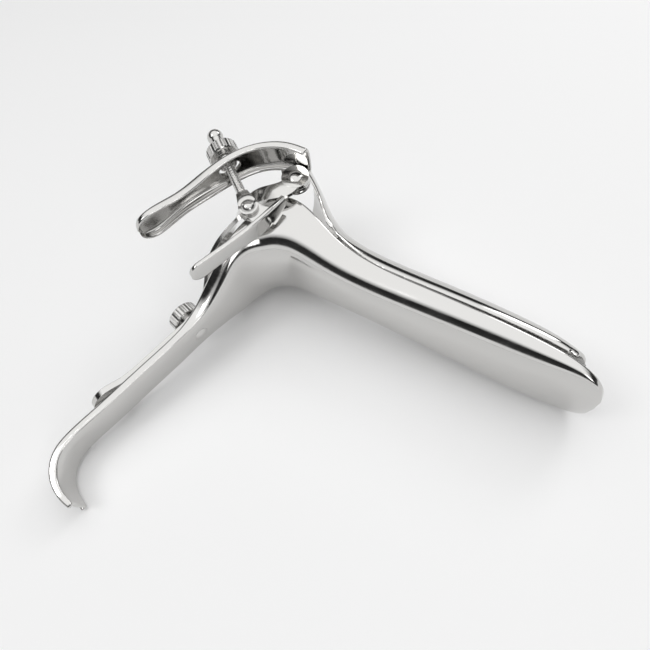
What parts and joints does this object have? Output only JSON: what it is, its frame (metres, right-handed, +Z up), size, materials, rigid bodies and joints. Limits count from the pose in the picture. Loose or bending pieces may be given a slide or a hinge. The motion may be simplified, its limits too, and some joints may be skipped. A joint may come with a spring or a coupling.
{
  "type": "bivalve speculum",
  "caption": "Metal bivalve speculum: two hinged trough blades, sliding yoke, channel handle with hook, thumb lever and angle lock",
  "frame": {"origin": "centre of the bounding box on the ground plane, under the instrument as it lies on its side", "axes": "+X from the handle side to the blade tips, +Y from the hook to the upper blade's collar, +Z up, out of the lever side"},
  "size_m": [0.154, 0.1462, 0.0623],
  "materials": {
    "polished_steel": "mirror-polished stainless steel sheet",
    "turned_steel": "bright turned stainless steel"
  },
  "bodies": {
    "lower_valve": {"lower_blade": "polished_steel", "slide_stud": "turned_steel"},
    "yoke": {"yoke_frame": "polished_steel", "slide_bar": "polished_steel", "finger_rest": "polished_steel", "rod_pivot_screw": "turned_steel", "hinge_rivet_lever_side": "polished_steel", "hinge_rivet_far_side": "polished_steel", "hinge_washer": "polished_steel"},
    "upper_valve": {"upper_blade": "polished_steel", "thumb_lever": "polished_steel"},
    "rod": {"angle_rod": "turned_steel", "ball_stop": "turned_steel"},
    "rod_washer": {"angle_washer": "turned_steel"},
    "rod_nut": {"angle_nut": "turned_steel"},
    "stud_washer": {"slide_washer": "turned_steel"},
    "stud_nut": {"slide_nut": "turned_steel"}
  },
  "joints": [
    {"name": "yoke_slide", "type": "slide", "parent": "lower_valve", "child": "yoke", "axis": [0.2531, 0.9571, 0.1413], "range_m": [0, 0.022]},
    {"name": "blade_hinge", "type": "hinge", "parent": "yoke", "child": "upper_valve", "pos_m": [-0.03947, 0.05784, 0.02665], "axis": [0.0731, -0.1645, 0.9837], "range_deg": [0, 24]},
    {"name": "rod_swivel", "type": "hinge", "parent": "yoke", "child": "rod", "pos_m": [-0.0421, 0.03186, 0.05198], "axis": [0.0731, -0.1645, 0.9837], "range_deg": [0, 15.5]},
    {"name": "washer_travel", "type": "slide", "parent": "rod", "child": "rod_washer", "axis": [0.7996, -0.5798, -0.1564], "range_m": [0, 0.0085]},
    {"name": "rod_nut_turn", "type": "hinge", "parent": "rod_washer", "child": "rod_nut", "pos_m": [-0.06313, 0.04711, 0.0561], "axis": [0.7996, -0.5798, -0.1564], "range_deg": [0, 3044]},
    {"name": "stud_washer_travel", "type": "slide", "parent": "lower_valve", "child": "stud_washer", "axis": [-0.9647, 0.2386, 0.1116], "range_m": [0, 0.0008]},
    {"name": "stud_nut_turn", "type": "hinge", "parent": "stud_washer", "child": "stud_nut", "pos_m": [-0.05555, -0.00024, 0.01813], "axis": [-0.9647, 0.2386, 0.1116], "range_deg": [0, 361]}
  ],
  "couplings": [
    {"joint": "rod_swivel", "follows": "blade_hinge", "ratio": 0.62917},
    {"joint": "washer_travel", "follows": "blade_hinge", "m_per_rad": 0.020054},
    {"joint": "rod_nut_turn", "follows": "blade_hinge", "ratio": 126},
    {"joint": "stud_nut_turn", "follows": "stud_washer_travel", "rad_per_m": 7854}
  ]
}
